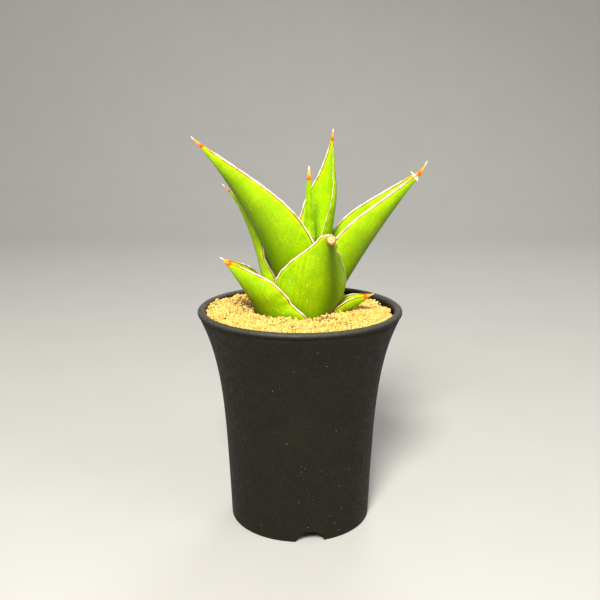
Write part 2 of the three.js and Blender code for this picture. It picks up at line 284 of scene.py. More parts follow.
def leaf_material():
    """Fleshy green skin, mottled and finely striped, with painted shade darkening the keel and the
    part low in the pot.

    A rust line runs beside the margin, and the point is a horny spine.
    """
    n = Nodes("leaf_skin")
    at = n.place()
    deep = (0.2, 0.42, 0.001)
    tip, edge, across = n.kept("tip_mm"), n.kept("edge_mm"), n.kept("across_mm")
    spine, channel, keel, low = n.kept("horn_mm"), n.kept("channel"), n.kept("keel"), n.kept("low")
    skin = n.mix(n.range(n.noise(at, 9, 3), 0.3, 0.7), (0.335, 0.58, 0.0003), (0.475, 0.73, 0.0003))
    skin = n.mix(n.range(n.noise(at, 1.1, 2, 0.6), 0.35, 0.65), skin, n.mix(0.45, skin, deep))
    skin = n.mix(n.range(n.noise(at, 0.45, 1), 0.55, 0.75, 0, 0.35), skin, (0.62, 0.8, 0.02))
    stripe = n.noise(n.vector(n.times(tip, 0.035), across, channel), 1.3, 2, 0.55)
    skin = n.mix(n.range(stripe, 0.42, 0.7, 0, 0.3), skin, deep)
    # painted shade: darker where the keel value is high, along the keel and over the whole front and
    # centre leaves
    skin = n.mix(n.times(keel, 0.9), skin, (0.075, 0.14, 0.0003))
    # painted shade: darker low down, below the pot's rim
    skin = n.mix(n.times(low, 0.45), skin, (0.1, 0.26, 0.001))
    skin = n.mix(n.range(edge, 0.5, 2.6, 0.45, 0), skin, (0.58, 0.76, 0.001))
    # pale scuffs that run along the leaf
    scuff = n.noise(n.vector(n.times(tip, 0.16), across, 3.7), 0.8, 2, 0.6)
    patch = n.noise(n.vector(n.times(tip, 0.6), across, 9.1), 7, 1)
    scuff = n.times(n.range(scuff, 0.66, 0.74), n.range(patch, 0.52, 0.62))
    skin = n.mix(n.times(scuff, 0.65), skin, (0.62, 0.7, 0.32))
    speck = n.range(n.cells(at, 2.3), 0.05, 0.09, 1, 0)
    speck = n.times(speck, n.range(n.noise(at, 5, 1), 0.55, 0.65))
    skin = n.mix(n.times(speck, 0.6), skin, (0.6, 0.68, 0.3))
    # rust line just inside the pale margin
    line = n.times(n.range(edge, 0.22, 0.34), n.range(edge, 0.55, 0.85, 1, 0))
    line = n.times(line, n.range(n.noise(at, 3, 2), 0.3, 0.55, 0.45, 1))
    skin = n.mix(line, skin, (0.3, 0.055, 0.006))
    # spine: rust at its foot, straw in the middle, bleached point
    wobble = n.math("ADD", spine, n.times(n.noise(at, 1.2, 2), 1.6))
    horn = n.mix(n.range(wobble, 1.4, 3.4), (0.9, 0.84, 0.7), (0.9, 0.42, 0.06))
    horn = n.mix(n.range(wobble, 4.2, 7.2), horn, (0.8, 0.1, 0.002))
    skin = n.mix(n.range(wobble, 7.4, 8.2, 1, 0), skin, horn)
    fine = n.noise(n.vector(n.times(tip, 0.2), across, channel), 0.5, 2)
    relief = n.bump(fine, 0.05, n.bump(n.noise(at, 0.9, 2), 0.06))
    n.set(
        Base_Color=skin,
        Roughness=n.range(n.noise(at, 2.2, 2), 0.3, 0.7, 0.42, 0.58),
        Specular_IOR_Level=0.12,
        Subsurface_Weight=0.12,
        Subsurface_Radius=(0.6, 1.0, 0.1),
        Subsurface_Scale=0.0015,
        Normal=relief,
    )
    return n.material


def margin_material():
    """The thin horny skin along a leaf's margin: chalky, browner in places, rust towards the spine,
    and darker and browner low in the pot as painted shade.
    """
    n = Nodes("leaf_margin")
    at = n.place()
    tip = n.kept("tip_mm")
    tone = n.mix(n.range(n.noise(at, 4, 3, 0.6), 0.42, 0.72), (0.84, 0.79, 0.66), (0.58, 0.4, 0.24))
    tone = n.mix(n.range(n.noise(at, 0.5, 2), 0.5, 0.75, 0, 0.5), tone, (0.42, 0.22, 0.1))
    # painted shade: darker and browner low down, below the pot's rim
    tone = n.mix(n.kept("low"), tone, (0.36, 0.17, 0.08))
    tone = n.mix(n.range(tip, 8, 14, 1, 0), tone, (0.66, 0.3, 0.03))
    n.set(
        Base_Color=tone,
        Roughness=n.range(n.noise(at, 1, 1), 0.3, 0.7, 0.5, 0.7),
        Specular_IOR_Level=0.3,
        Normal=n.bump(n.noise(at, 0.35, 2), 0.06),
    )
    return n.material


def callus_material():
    """Healed cut: ringed straw-coloured cork with a rust rim."""
    n = Nodes("healed_cut")
    at = n.place()
    out = n.kept("out")
    rings = n.math("ADD", n.times(out, 17), n.times(n.noise(at, 1.2, 2), 5))
    rings = n.math("SINE", rings)
    tone = n.mix(n.range(rings, -0.4, 0.8), (0.74, 0.52, 0.25), (0.5, 0.27, 0.1))
    tone = n.mix(n.range(n.noise(at, 0.5, 3), 0.45, 0.7, 0, 0.6), tone, (0.8, 0.64, 0.38))
    tone = n.mix(n.range(out, 0.72, 0.88), tone, (0.6, 0.13, 0.008))
    n.set(Base_Color=tone, Roughness=0.65, Specular_IOR_Level=0.25)
    n.set(Normal=n.bump(rings, 0.12, n.bump(n.noise(at, 0.4, 3), 0.15)))
    return n.material


def pot_material():
    """Black moulded plastic with a fine matte grain, dust in the grain, crumbs, a few scuffs and a
    painted highlight on the lip.
    """
    n = Nodes("pot_plastic")
    at = n.place()
    grain = n.noise(at, 0.45, 3, 0.65)
    black, faded = (0.0058, 0.0049, 0.0024), (0.0076, 0.0064, 0.0032)
    tone = n.mix(n.range(n.noise(at, 14, 3), 0.35, 0.7), black, faded)
    tone = n.mix(n.range(grain, 0.5, 0.72, 0, 0.5), tone, (0.034, 0.03, 0.021))
    dust = n.range(n.cells(at, 1.5), 0.07, 0.13, 1, 0)
    dust = n.times(dust, n.range(n.noise(at, 6, 2), 0.45, 0.62))
    tone = n.mix(n.times(dust, 0.6), tone, (0.16, 0.155, 0.13))
    crumb = n.range(n.cells(at, 5), 0.028, 0.048, 1, 0)
    tone = n.mix(n.times(crumb, 0.5), tone, (0.5, 0.47, 0.38))
    scratch = n.noise(n.place((1, 1, 0.25)), 1.1, 2, 0.7, 1.5)
    scratch = n.times(n.range(scratch, 0.7, 0.74), n.range(n.noise(at, 11, 1), 0.56, 0.64))
    tone = n.mix(n.times(scratch, 0.35), tone, (0.2, 0.19, 0.16))
    # the lip is smoother, and painted paler as a highlight
    height = n.new("ShaderNodeSeparateXYZ")
    n.put(height.inputs[0], at)
    lip = n.range(height.outputs[2], RIM_TOP / MM - 2.2, RIM_TOP / MM - 0.3)
    lip = n.times(lip, n.range(n.noise(at, 0.7, 3, 0.65), 0.35, 0.7, 0.35, 1))
    # painted highlight: the lip's top is painted paler grey
    lip_highlight_tone = n.mix(lip, tone, (0.085, 0.082, 0.07))
    dull = n.range(n.noise(at, 3, 3), 0.3, 0.7, 0.6, 0.76)
    n.set(
        Base_Color=lip_highlight_tone,
        Roughness=n.math("SUBTRACT", dull, n.times(lip, 0.45)),
        Specular_IOR_Level=0.19,
        Normal=n.bump(grain, 0.09, n.bump(n.noise(at, 1.6, 2), 0.05)),
    )
    return n.material


def granule_material():
    """Baked clay: golden, chalky, each granule a little different; the dark ones are brown granules
    and painted shade.
    """
    n = Nodes("clay_granules")
    at = n.place()
    tint, brown_and_shade = n.kept("tint"), n.kept("brown_and_shade")
    tone = n.mix(n.range(tint, 0, 0.75), (0.6, 0.38, 0.085), (0.82, 0.59, 0.17))
    tone = n.mix(n.range(tint, 0.8, 1), tone, (0.86, 0.67, 0.28))
    tone = n.mix(n.range(n.noise(at, 0.5, 3), 0.4, 0.7, 0, 0.45), tone, (0.5, 0.27, 0.06))
    # dark granules: brown ones, and painted shade along the leaves' front
    tone = n.mix(brown_and_shade, tone, n.mix(tint, (0.12, 0.065, 0.02), (0.46, 0.3, 0.14)))
    n.set(Base_Color=tone, Roughness=0.92, Specular_IOR_Level=0.15)
    n.set(Normal=n.bump(n.noise(at, 0.3, 3, 0.6), 0.12))
    return n.material


def soil_material(name, dark, light):
    """Crumbly bed between and under the granules."""
    n = Nodes(name)
    at = n.place()
    crumbs = n.cells(at, 1.4)
    tone = n.mix(n.range(n.noise(at, 0.8, 3), 0.35, 0.65), dark, light)
    tone = n.mix(n.range(crumbs, 0.2, 0.6, 0.6, 0), tone, light)
    n.set(Base_Color=tone, Roughness=0.95, Specular_IOR_Level=0.15)
    n.set(Normal=n.bump(crumbs, -0.5, n.bump(n.noise(at, 0.6, 3), 0.3)))
    return n.material


def stem_material():
    """Pale orange underground stem and roots with scale scars."""
    n = Nodes("underground_stem")
    at = n.place()
    tone = n.mix(n.range(n.noise(at, 3, 3), 0.35, 0.65), (0.52, 0.24, 0.07), (0.75, 0.45, 0.2))
    scars = n.range(n.noise(n.place((3, 1, 1)), 1.2, 2), 0.6, 0.7, 0, 0.7)
    tone = n.mix(scars, tone, (0.3, 0.13, 0.04))
    n.set(Base_Color=tone, Roughness=0.7, Specular_IOR_Level=0.3)
    n.set(Normal=n.bump(n.noise(at, 0.9, 3), 0.2))
    return n.material


LEAF_SKIN, MARGIN, CALLUS = leaf_material(), margin_material(), callus_material()
PLASTIC, CLAY, STEM = pot_material(), granule_material(), stem_material()
# the bed's dark brown is painted shade deep between the granules
BED = soil_material("granule_bed", (0.09, 0.045, 0.012), (0.42, 0.25, 0.07))
MIX = soil_material("potting_mix", (0.03, 0.017, 0.008), (0.12, 0.07, 0.035))


# ---------------------------------------------------------------- leaves
SECTION = 16  # corners of a CAD leaf's section; half of them run across each face
HALF = SECTION // 2


def leaf_sections(name):
    """The sections of a CAD leaf from its tip down, and the tip.

    The margins are at corners 0 and HALF of a section, and the round face comes first.
    """
    bm = bmesh.new()
    bm.from_mesh(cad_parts[name].data)
    bmesh.ops.remove_doubles(bm, verts=bm.verts, dist=WELD)
    tip = max(bm.verts, key=lambda v: len(v.link_edges))
    seen, ring, rings = {tip}, [tip], []
    while ring:
        beside = [e.other_vert(v) for v in ring for e in v.link_edges]
        ring = list(dict.fromkeys(v for v in beside if v not in seen))
        seen.update(ring)
        if len(ring) == SECTION:
            rings.append(ring)
    sections = []
    for ring in rings[:-1]:  # the last one closes the heel, under the granules
        members, order = set(ring), [ring[0]]
        while len(order) < SECTION:
            near = [e.other_vert(order[-1]) for e in order[-1].link_edges]
            order.append(next(v for v in near if v in members and v not in order))
        points = np.array([v.co for v in order])
        if sections:
            goal = unit_shape(sections[-1])
            fits = []
            for turned in (points, points[::-1]):
                shape = unit_shape(turned)
                for k in range(SECTION):
                    fits.append((np.sum((np.roll(shape, -k, 0) - goal) ** 2), len(fits), k, turned))
            _, _, k, turned = min(fits)
            points = np.roll(turned, -k, 0)
        sections.append(points)
    sections = np.array(sections)
    before, after = np.roll(sections, 1, 1) - sections, np.roll(sections, -1, 1) - sections
    sharp = np.einsum("rpi,rpi->rp", unit(before), unit(after))[2:].mean(0)
    first = max(range(HALF), key=lambda k: sharp[k] + sharp[k + HALF])
    sections = np.roll(sections, -first, 1)
    loop = np.concatenate([sections, sections[:, :1]], 1)
    lengths = np.linalg.norm(np.diff(loop, axis=1), axis=-1).sum(0)
    if lengths[:HALF].sum() < lengths[HALF:].sum():
        sections = np.roll(sections, -HALF, 1)
    point = np.array(tip.co)
    bm.free()
    return sections, point


def unit_shape(points):
    """The same outline about its centre, about 1 in radius."""
    centred = points - points.mean(0)
    return centred / math.sqrt((centred**2).sum(1).mean())


# the front leaf's painted shade band runs along this ridge
RIDGE = 0.64  # where across the front leaf its blunt ridge runs
ALONG, ACROSS = 8, 5  # finer steps for each CAD section along the leaf and for each corner across it
LEAF_APART = 60  # keeps each leaf's stripes its own, in millimetres across the noise
MARGIN_WAVES = [0.031, 0.017, 0.0105, 0.0061]  # wavelengths of the wavering margins, in metres


def leaf_surface(name, seed, shape=None):
    """The leaf as a fine grid [along][around] from near the tip down.

    Also its tip, the numbers that its material needs, and the number of corners across a face.
    """
    sections, tip = leaf_sections(name)
    tips = np.repeat(tip[None, None], SECTION, 1)
    rows = refine(np.concatenate([tips, sections]), ALONG)[1:]
    columns = rows.transpose(1, 0, 2)
    outer = refine(columns[: HALF + 1], ACROSS)
    inner = refine(np.concatenate([columns[HALF:], columns[:1]]), ACROSS)
    grid = np.concatenate([outer[:-1], inner[:-1]]).transpose(1, 0, 2)
    face = ACROSS * HALF
    keel = grid[:, face // 2]
    steps = np.linalg.norm(np.diff(np.concatenate([tip[None], keel]), axis=0), axis=1)
    from_tip = np.cumsum(steps)[:, None] * np.ones(2 * face)
    if shape is not None:
        grid = shape(grid, from_tip[:, 0], face)
    # margins waver a little in and out
    middle = (grid[:, :1] + grid[:, face : face + 1]) / 2
    loop = np.concatenate([grid, grid[:, :1]], 1)
    travelled = np.cumsum(np.linalg.norm(np.diff(loop, axis=1), axis=2), 1)
    travelled = np.concatenate([np.zeros((len(grid), 1)), travelled], 1)
    half, whole = travelled[:, face : face + 1], travelled[:, -1:]
    travelled = travelled[:, :-1]
    on_outer = np.arange(2 * face) < face
    side_a = np.minimum(travelled, whole - travelled)
    side_b = np.abs(travelled - half)
    edge = np.minimum(side_a, side_b)
    for side, distance in ((0, side_a), (1, side_b)):
        wave = wander(from_tip[:, :1], seed * 7 + side, MARGIN_WAVES) * 0.32 * MM
        wave = wave * np.clip((from_tip[:, :1] - 8 * MM) / (12 * MM), 0, 1)
        grid = grid + unit(grid - middle) * (wave * bell(distance, 4 * MM))[..., None]
    reach = np.where(on_outer, half / 2 - travelled, travelled - (half + whole) / 2)
    width = np.where(on_outer, half, whole - half)
    # painted shade along the middle of the round face, where the keel runs
    keel_shade = np.where(on_outer, bell(3.2 * reach, np.maximum(width, 1e-6)), 0)
    values = {
        "tip_mm": from_tip / MM,
        "edge_mm": edge / MM,
        "across_mm": reach / MM + seed * LEAF_APART,
        "channel": np.where(on_outer, 0, 5) * np.ones_like(edge),
        "keel": keel_shade * np.clip((from_tip - 6 * MM) / (20 * MM), 0, 1),
        # painted shade: darker below the pot's rim
        "low": np.clip((RIM_TOP + 6 * MM - grid[..., 2]) / (14 * MM), 0, 1),
    }
    return grid, tip, values, face


def spined(grid, tip, spine, lean):
    """Draws the leaf's point out into a slender, blunt-ended spine that leans by lean millimetres."""
    centre = grid.mean(1, keepdims=True)
    run = np.linalg.norm(centre[:, 0] - tip, axis=-1)
    bend = np.clip(1 - run / (1.6 * spine * MM), 0, 1) ** 1.4
    spoke = grid - centre
    girth = np.maximum(np.linalg.norm(spoke, axis=-1).mean(1), 1e-7)
    least = 0.3 * MM * np.sqrt(np.clip(run / (1.2 * MM), 0.02, 1)) + 0.025 * run
    wanted = np.where(run < spine * MM, np.maximum(girth, np.minimum(least, 0.6 * MM)), girth)
    round_spoke = unit(spoke) * wanted[:, None, None]
    blunt = np.clip(1 - run / (2.5 * MM), 0, 1)[:, None, None]
    spoke = (spoke * (wanted / girth)[:, None, None]) * (1 - blunt) + round_spoke * blunt
    shift = np.array([lean[0], 0, lean[1]]) * MM
    return centre + spoke + shift * bend[:, None, None], tip + shift


def near_margin(grid, face):
    """Which corner column runs along the margin that faces the front."""
    return min((0, face), key=lambda k: grid[len(grid) // 2, k, 1])


def smooth_step(t):
    """From 0 to 1 as t goes from 0 to 1, gently at both ends."""
    t = np.clip(t, 0, 1)
    return t * t * (3 - 2 * t)


def pulled(grid, index, reach, shift):
    """The leaf with one margin moved by shift; what is within about reach of it moves less.

    index is the margin's corner column, and reach and shift are in millimetres.
    """
    pull = bell(np.linalg.norm(grid - grid[:, index][:, None], axis=-1), reach * MM)
    return grid + (pull * MM)[..., None] * shift


# Each of the next three reshapes one leaf. They are given its grid, its rows' distances from the
# tip in metres and the number of corners across a face.
def swept_foot(grid, from_tip, face):
    """The low left leaf's near margin runs on slantwise into the granules."""
    height = grid[..., 2] / MM
    sweep = 3.3 * smooth_step((115.5 - height) / 5) - 1.9 * bell(height - 117, 2.6)
    forward = -1.6 * smooth_step((116 - height) / 4)
    return pulled(grid, near_margin(grid, face), 5.5, np.stack([sweep, forward, 0 * sweep], -1))


def curled_wing(grid, from_tip, face):
    """The front leaf's right margin curls out in two waves below the healed cut."""
    right = max((0, face), key=lambda k: grid[len(grid) // 3, k, 0])
    run = from_tip[:, None] / MM
    wave = 1.3 * bell(run - 10, 2.4) - 1.5 * bell(run - 14.2, 1.9) + 0.9 * bell(run - 19, 3)
    return pulled(grid, right, 2.6, wave[..., None] * np.array([1, 0.25, 0.1]))


def parted_margin(grid, from_tip, face):
    """The narrow leaf's near margin stands clear of its neighbour low down."""
    part = -2.1 * bell(grid[..., 2] / MM - 136, 5.5)
    return pulled(grid, near_margin(grid, face), 3.5, part[..., None] * np.array([1, 0.35, 0]))


def close_up(grid, tip, values):
    """Corners, faces and values of a leaf's grid, closed at its tip and its heel."""
    rows, columns = grid.shape[:2]
    co = np.concatenate([grid.reshape(-1, 3), tip[None], grid[-1].mean(0)[None]])
    ring = np.arange(columns)
    top = fan(ring, rows * columns)[:, [1, 0, 2]]
    bottom = fan((rows - 1) * columns + ring, rows * columns + 1)
    faces = facing_out(co, [grid_faces(rows, columns), top, bottom])
    kept = {key: np.append(data, [0, data[-1].mean()]) for key, data in values.items()}
    return co, faces, kept


def margin_strip(grid, values, face, widths):
    """The pale horny edge along both margins: two slim oval cords that thin out into the spine."""
    parts, faces, tips, lows, start = [], [], [], [], 0
    sides = 8
    ring = np.arange(sides)
    angle = ring * 2 * math.pi / sides
    for index, width in zip((0, face), widths):
        line = grid[:, index]
        from_tip = values["horn_mm"][:, index] * MM
        ahead = unit(np.gradient(line, axis=0))
        beside = (grid[:, (index + 3) % (2 * face)] + grid[:, index - 3]) / 2
        out = line - beside
        out = unit(out - ahead * np.einsum("ri,ri->r", out, ahead)[:, None])
        flat = np.cross(ahead, out)
        size = width * MM * (1 + 0.16 * wander(from_tip, 90 + index, [0.007, 0.0037, 0.002]))
        size = size * np.clip((from_tip - 5 * MM) / (10 * MM), 0.12, 1) * values["shown"][:, index]
        reach = (out[:, None] * np.cos(angle)[None, :, None]) * (1.15 * size[:, None, None])
        thick = (flat[:, None] * np.sin(angle)[None, :, None]) * (0.8 * size[:, None, None])
        tube = (line + out * 0.35 * size[:, None])[:, None] + reach + thick
        keep = from_tip > 0.0045
        tube, from_tip = tube[keep], from_tip[keep]
        rows = len(tube)
        ends = [tube[0].mean(0)[None], tube[-1].mean(0)[None]]
        cord = np.concatenate([tube.reshape(-1, 3), *ends])
        first = fan(ring, rows * sides)[:, [1, 0, 2]]
        last = fan((rows - 1) * sides + ring, rows * sides + 1)
        faces += [f + start for f in facing_out(cord, [grid_faces(rows, sides), first, last])]
        parts.append(cord)
        start += len(cord)
        tips += [np.repeat(from_tip, sides), from_tip[:1], from_tip[-1:]]
        # painted shade low in the pot, just below the rim
        low = np.clip((RIM_TOP + 2 * MM - tube[..., 2]) / (8 * MM), 0, 1)
        lows += [low.ravel(), low[0, :1], low[-1, :1]]
    kept = {"tip_mm": np.concatenate(tips) / MM, "low": np.concatenate(lows)}
    return np.concatenate(parts), faces, kept


# for each leaf, in millimetres: half the width of its far and of its near margin, its spine's
# length, and how far the spine leans to the right and up
LEAVES = {
    "leaf_tall_left": (0.36, 0.36, 7.4, (-0.5, 0.6)),
    "leaf_tall_right": (0.42, 0.46, 8.6, (1.2, 0.5)),
    "leaf_back": (0.34, 0.14, 6.3, (0.1, 0.5)),
    "leaf_front": (0.38, 0.38, 0, (0, 0)),
    "leaf_low_left": (0.36, 0.36, 5.6, (-0.8, 0.5)),
    "leaf_narrow_left": (0.3, 0.3, 6.1, (-0.8, -0.1)),
    "leaf_low_right": (0.3, 0.3, 5.4, (0.4, 0.0)),
    "leaf_centre": (0.07, 0.07, 7.6, (0.2, 0.2)),
}
SHAPES = {"leaf_low_left": swept_foot, "leaf_front": curled_wing, "leaf_narrow_left": parted_margin}
USUAL_SPINE = 7.4  # millimetres; the leaf material's spine colours are laid out for this length
NO_SPINE = 50  # millimetres from the tip; beyond the spine's colours
HIDDEN_ABOVE = 0.1445  # the narrow leaf's near margin is tucked behind its neighbour above this height

leaf_trees = []
surfaces = {}
for seed, (name, (far, near, spine, lean)) in enumerate(LEAVES.items()):
    grid, tip, values, face = leaf_surface(name, seed, SHAPES.get(name))
    front = near_margin(grid, face)
    widths = (near, far) if front == 0 else (far, near)
    if spine:
        grid, tip = spined(grid, tip, spine, lean)
        values["horn_mm"] = values["tip_mm"] * (USUAL_SPINE / spine)
    else:
        values["horn_mm"] = values["tip_mm"] + NO_SPINE
    values["shown"] = np.ones_like(values["tip_mm"])
    if name == "leaf_narrow_left":
        tucked = smooth_step((grid[..., 2] - HIDDEN_ABOVE) / (3 * MM))
        beside = np.abs(grid - grid[:, front][:, None]).sum(-1) < 5 * MM
        values["shown"] = np.where(beside, 1 - 0.85 * tucked, 1)
        values["edge_mm"] = values["edge_mm"] + 2 * tucked * beside
        # less painted shade on the narrow leaf's keel
        values["keel"] = values["keel"] * 0.3
    if name == "leaf_centre":
        values["edge_mm"] = values["edge_mm"] + 2.5
        values["shown"] = values["shown"] * 0.2
        # painted shade over the whole centre leaf, more on its keel
        values["keel"] = 0.3 + 0.5 * values["keel"]
    # the front leaf: painted shade over all its round face, deepest in a band along its ridge
    if name == "leaf_front":
        ridge = grid[:, int((RIDGE if front == 0 else 1 - RIDGE) * face)]
        away = np.linalg.norm(grid - ridge[:, None], axis=-1) / MM
        ridge_shade = bell(away, 2.3 + 0.11 * values["tip_mm"])
        values["keel"] = np.where(np.arange(2 * face) < face, 0.28 + 0.72 * ridge_shade, 0)
    surfaces[name] = grid, tip, values
    co, faces, kept = close_up(grid, tip, values)
    mesh = make_mesh(name + "_skin", co, faces, kept)
    skin = add_piece(name + "_skin", mesh, LEAF_SKIN, [name])
    leaf_trees.append(BVHTree.FromObject(skin, bpy.context.evaluated_depsgraph_get()))
    co, faces, kept = margin_strip(grid, values, face, widths)
    mesh = make_mesh(name + "_margin", co, faces, kept)
    add_piece(name + "_margin", mesh, MARGIN)


# ---------------------------------------------------------------- pot
FEWEST_ROUND = 24  # more corners than this at one radius and height are a turned ring


def pot_profile():
    """The pot's turned outline as [radius, height], read off the CAD mesh.

    It runs up the outside, over the lip and down the inside.
    """
    bm = bmesh.new()
    bm.from_mesh(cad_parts["pot"].data)
    bmesh.ops.remove_doubles(bm, verts=bm.verts, dist=WELD)
    kind, found = {}, {}
    for v in bm.verts:
        r = math.hypot(v.co.x - POT_X, v.co.y - POT_Y)
        kind[v] = (round(r / MM, 1), round(v.co.z / MM, 1))
        found.setdefault(kind[v], []).append((r, v.co.z))
    turned = {k: np.mean(f, 0) for k, f in found.items() if len(f) > FEWEST_ROUND}
    links = {k: set() for k in turned}
    for e in bm.edges:
        a, b = (kind[v] for v in e.verts)
        if a == b or a not in turned or b not in turned:
            continue
        angles = [math.atan2(v.co.y - POT_Y, v.co.x - POT_X) for v in e.verts]
        if abs(math.remainder(angles[0] - angles[1], 2 * math.pi)) < 0.01:
            links[a].add(b)
            links[b].add(a)
    bm.free()
    foot = sorted(k for k in turned if k[1] < 0.1)
    path = [foot[0], foot[-1]]
    while ways := sorted((k for k in links[path[-1]] if k not in path), key=lambda k: -k[1]):
        path.append(ways[0])
    return np.array([turned[k] for k in path])


def turn(profile, segments, hollow=False):
    """Corners and faces of a profile of [radius, height] turned about the pot's axis.

    Its ends are closed at the axis or, hollow, are joined to each other. The corners start a part
    of a step round, so that none lies on the edge of a hole.
    """
    angle = (np.arange(segments) + 0.37) * 2 * math.pi / segments
    ring = np.stack([np.cos(angle), np.sin(angle)], -1)
    flat = profile[:, None, :1] * ring[None] + [POT_X, POT_Y]
    heights = np.repeat(profile[:, 1][:, None, None], segments, 1)
    co = np.concatenate([flat, heights], 2).reshape(-1, 3)
    rows = len(profile)
    first = np.arange(segments)
    last = (rows - 1) * segments + first
    sides = grid_faces(rows, segments)
    if hollow:
        joint = np.stack([last, np.roll(last, -1), np.roll(first, -1), first], -1)
        return co, facing_out(co, [sides, joint])
    ends = [[POT_X, POT_Y, profile[0, 1]], [POT_X, POT_Y, profile[-1, 1]]]
    co = np.concatenate([co, ends])
    start = fan(first, rows * segments)[:, [1, 0, 2]]
    end = fan(last, rows * segments + 1)
    return co, facing_out(co, [sides, start, end])


def cutter(radius, depth, at, along):
    """A round bar that cuts a hole or a notch."""
    bpy.ops.mesh.primitive_cylinder_add(vertices=48, radius=radius, depth=depth, location=at)
    bar = bpy.context.object
    bar.rotation_euler = Vector(along).to_track_quat("Z", "Y").to_euler()
    return bar


def floor_rings(height, start, end):
    """Points along the floor's upper or lower side."""
    return [[radius, height] for radius in np.linspace(start, end, 9)]


RECESS_HEIGHT = 6.3 * MM  # the floor's underside above the foot
# the drain notches in the foot: how many, the radius of the bars that cut them, how far below the
# foot the bars' axes lie, and the first one's angle
NOTCHES, NOTCH_RADIUS, NOTCH_SINK, NOTCH_FIRST = 3, 7.6 * MM, 1.8 * MM, math.radians(-82)
# the drain holes round the middle one: how many, the radius of their ring and their own radius
DRAINS, DRAIN_RING, DRAIN_RADIUS = 6, 20 * MM, 3.6 * MM
DRAIN_CENTRE = 6.5 * MM  # the middle drain hole's radius
SEGMENTS = 192

outline = pot_profile()
top = int(np.argmax(outline[:, 1]))
under_lip = next(i for i in range(2, top) if outline[i + 1, 1] - outline[i, 1] < 2 * MM)
inner_lip = next(i for i in range(top, len(outline)) if outline[i + 1, 1] < outline[i, 1] - 3 * MM)
profile = np.concatenate(
    [
        floor_rings(RECESS_HEIGHT, DRAIN_CENTRE, outline[0, 0]),
        refine(outline[:2], 3)[:-1],
        outline[1:2],
        refine(outline[2 : under_lip + 1], 5)[:-1],
        refine(outline[under_lip : inner_lip + 1], 4)[:-1],
        refine(outline[inner_lip:-1], 4),
        floor_rings(outline[-1, 1], outline[-1, 0], DRAIN_CENTRE),
    ]
)
co, faces = turn(profile, SEGMENTS, hollow=True)
shell = add_piece("pot_shell", make_mesh("pot_shell", co, faces), PLASTIC, ["pot"])
bars = []
floor_height = (RECESS_HEIGHT + outline[-1, 1]) / 2
for i in range(NOTCHES):
    a = NOTCH_FIRST + i * 2 * math.pi / NOTCHES
    out = Vector((math.cos(a), math.sin(a), 0))
    at = Vector((POT_X, POT_Y, -NOTCH_SINK)) + out * (outline[1, 0] - 2 * MM)
    bars.append(cutter(NOTCH_RADIUS, 12 * MM, at, out))
for i in range(DRAINS):
    a = i * 2 * math.pi / DRAINS
    at = (POT_X + DRAIN_RING * math.cos(a), POT_Y + DRAIN_RING * math.sin(a), floor_height)
    bars.append(cutter(DRAIN_RADIUS, 8 * MM, at, (0, 0, 1)))
for bar in bars:
    cut = shell.modifiers.new("cut", "BOOLEAN")
    cut.operation, cut.solver, cut.object = "DIFFERENCE", "MANIFOLD", bar
finished = bpy.data.meshes.new_from_object(shell.evaluated_get(bpy.context.evaluated_depsgraph_get()))
shell.modifiers.clear()
shell.data = finished
for bar in bars:
    bpy.data.objects.remove(bar)
finished.materials.clear()
finished.materials.append(PLASTIC)
finished.polygons.foreach_set("use_smooth", np.ones(len(finished.polygons), bool))
finished.set_sharp_from_angle(angle=math.radians(38))


# ---------------------------------------------------------------- granules
cad_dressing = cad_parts["top_dressing"]
dressing_tree = BVHTree.FromObject(cad_dressing, bpy.context.evaluated_depsgraph_get())
dressing_low, dressing_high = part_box("top_dressing")
INNER = outline[inner_lip, 0]  # the pot's mouth, inside the lip


def surface_height(x, y):
    """Height of the CAD granule layer's top, also across the hollows in which the leaves stand."""
    hit = dressing_tree.ray_cast(Vector((x, y, RIM_TOP + 0.02)), Vector((0, 0, -1)))[0]
    level = dressing_low.z + 0.87 * (dressing_high.z - dressing_low.z)
    if hit is None or hit.z < level - 2 * MM:
        return level - 0.02 * (x - POT_X)
    return hit.z


def spot(x, y, at, size):
    """A soft mound, 1 high; at and size are in millimetres, at from the pot's axis."""
    u, v = (x - POT_X) / MM, (y - POT_Y) / MM
    return math.exp(-(((u - at[0]) / size[0]) ** 2) - ((v - at[1]) / size[1]) ** 2)


def heaped(x, y):
    """How far the granules are heaped above or sunk below that layer, in metres."""
    u, v = (x - POT_X) / MM, (y - POT_Y) / MM
    rise = 0.55 * math.sin(u / 5.3 + 1.1) * math.cos(v / 4.7) + 0.3 * math.sin(u / 2.9 - v / 3.7)
    rise += 0.9 * spot(x, y, (-41, 12), (13, 16))
    rise -= 1.1 * spot(x, y, (14, -15), (6, 4))
    rise -= 0.7 * spot(x, y, (36, 16), (9, 10))
    return rise * MM


def bed():
    """The crumbly bed that shows between the granules, its dark brown a painted shade in the gaps: a
    closed slab under them.
    """
    rings, segments = 20, 96
    foot, edge = dressing_low.z, INNER - 0.8 * MM
    line = [[edge, foot]] + [[edge * (1 - i / rings), foot] for i in range(rings)]
    co, faces = turn(np.array(line), segments)
    middle_below = len(co) - 2
    for i in range(segments, len(co)):
        if i == middle_below:
            continue
        x, y, _ = co[i]
        co[i, 2] = surface_height(x, y) + heaped(x, y) - 1.0 * MM
    return make_mesh("granule_bed", co, facing_out(co, faces))


